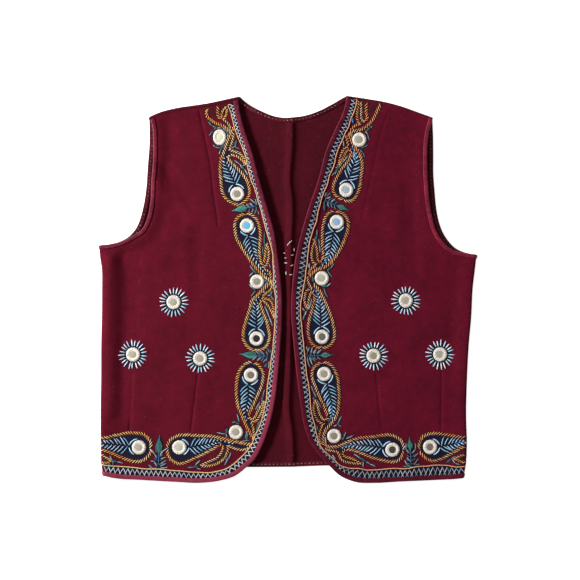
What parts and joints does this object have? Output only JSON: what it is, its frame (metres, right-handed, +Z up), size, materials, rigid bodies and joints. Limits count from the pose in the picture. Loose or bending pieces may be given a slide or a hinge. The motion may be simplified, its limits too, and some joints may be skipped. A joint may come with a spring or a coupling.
{
  "type": "embroidered folk vest laid flat",
  "caption": "Sleeveless open-front vest laid flat on its back, with bound edges, a stitched paisley border and small round mirrors.",
  "frame": {"origin": "centre of the vest's bounding box on the surface that it lies on", "axes": "+Y from hem to neck, +X to the viewer's right as the vest lies front side up, +Z up from the surface"},
  "size_m": [0.4932, 0.504, 0.0081],
  "materials": {
    "maroon_wool": "felted wool, soft short nap",
    "maroon_satin": "satin bias binding, soft sheen",
    "mirror_glass": "small hand-cut mirror glass in a stitched ring",
    "ivory_thread": "cotton thread, buttonhole stitch",
    "gold_thread": "glossy rayon thread",
    "blue_thread": "glossy rayon thread",
    "navy_thread": "dark ground of close cotton stitches",
    "teal_thread": "glossy rayon thread",
    "maroon_thread": "cotton sewing thread"
  },
  "bodies": {
    "root": {"back_left": "maroon_wool", "back_right": "maroon_wool", "back_seam_allowance": "maroon_wool", "front_left": "maroon_wool", "front_right": "maroon_wool", "neck_turning": "maroon_satin", "back_hem_turning": "maroon_satin", "armhole_turning_left": "maroon_satin", "front_binding_left": "maroon_satin", "armhole_binding_left": "maroon_satin", "armhole_turning_right": "maroon_satin", "front_binding_right": "maroon_satin", "armhole_binding_right": "maroon_satin", "shisha_border_left_1": "mirror_glass", "shisha_border_left_2": "mirror_glass", "shisha_border_left_3": "mirror_glass", "shisha_border_left_4": "mirror_glass", "shisha_border_left_5": "mirror_glass", "shisha_border_left_6": "mirror_glass", "shisha_border_left_7": "mirror_glass", "shisha_border_left_8": "mirror_glass", "shisha_border_left_9": "mirror_glass", "shisha_medallion_left_1": "mirror_glass", "shisha_medallion_left_2": "mirror_glass", "shisha_medallion_left_3": "mirror_glass", "shisha_border_right_1": "mirror_glass", "shisha_border_right_2": "mirror_glass", "shisha_border_right_3": "mirror_glass", "shisha_border_right_4": "mirror_glass", "shisha_border_right_5": "mirror_glass", "shisha_border_right_6": "mirror_glass", "shisha_border_right_7": "mirror_glass", "shisha_border_right_8": "mirror_glass", "shisha_border_right_9": "mirror_glass", "shisha_medallion_right_1": "mirror_glass", "shisha_medallion_right_2": "mirror_glass", "shisha_medallion_right_3": "mirror_glass"}
  },
  "joints": []
}
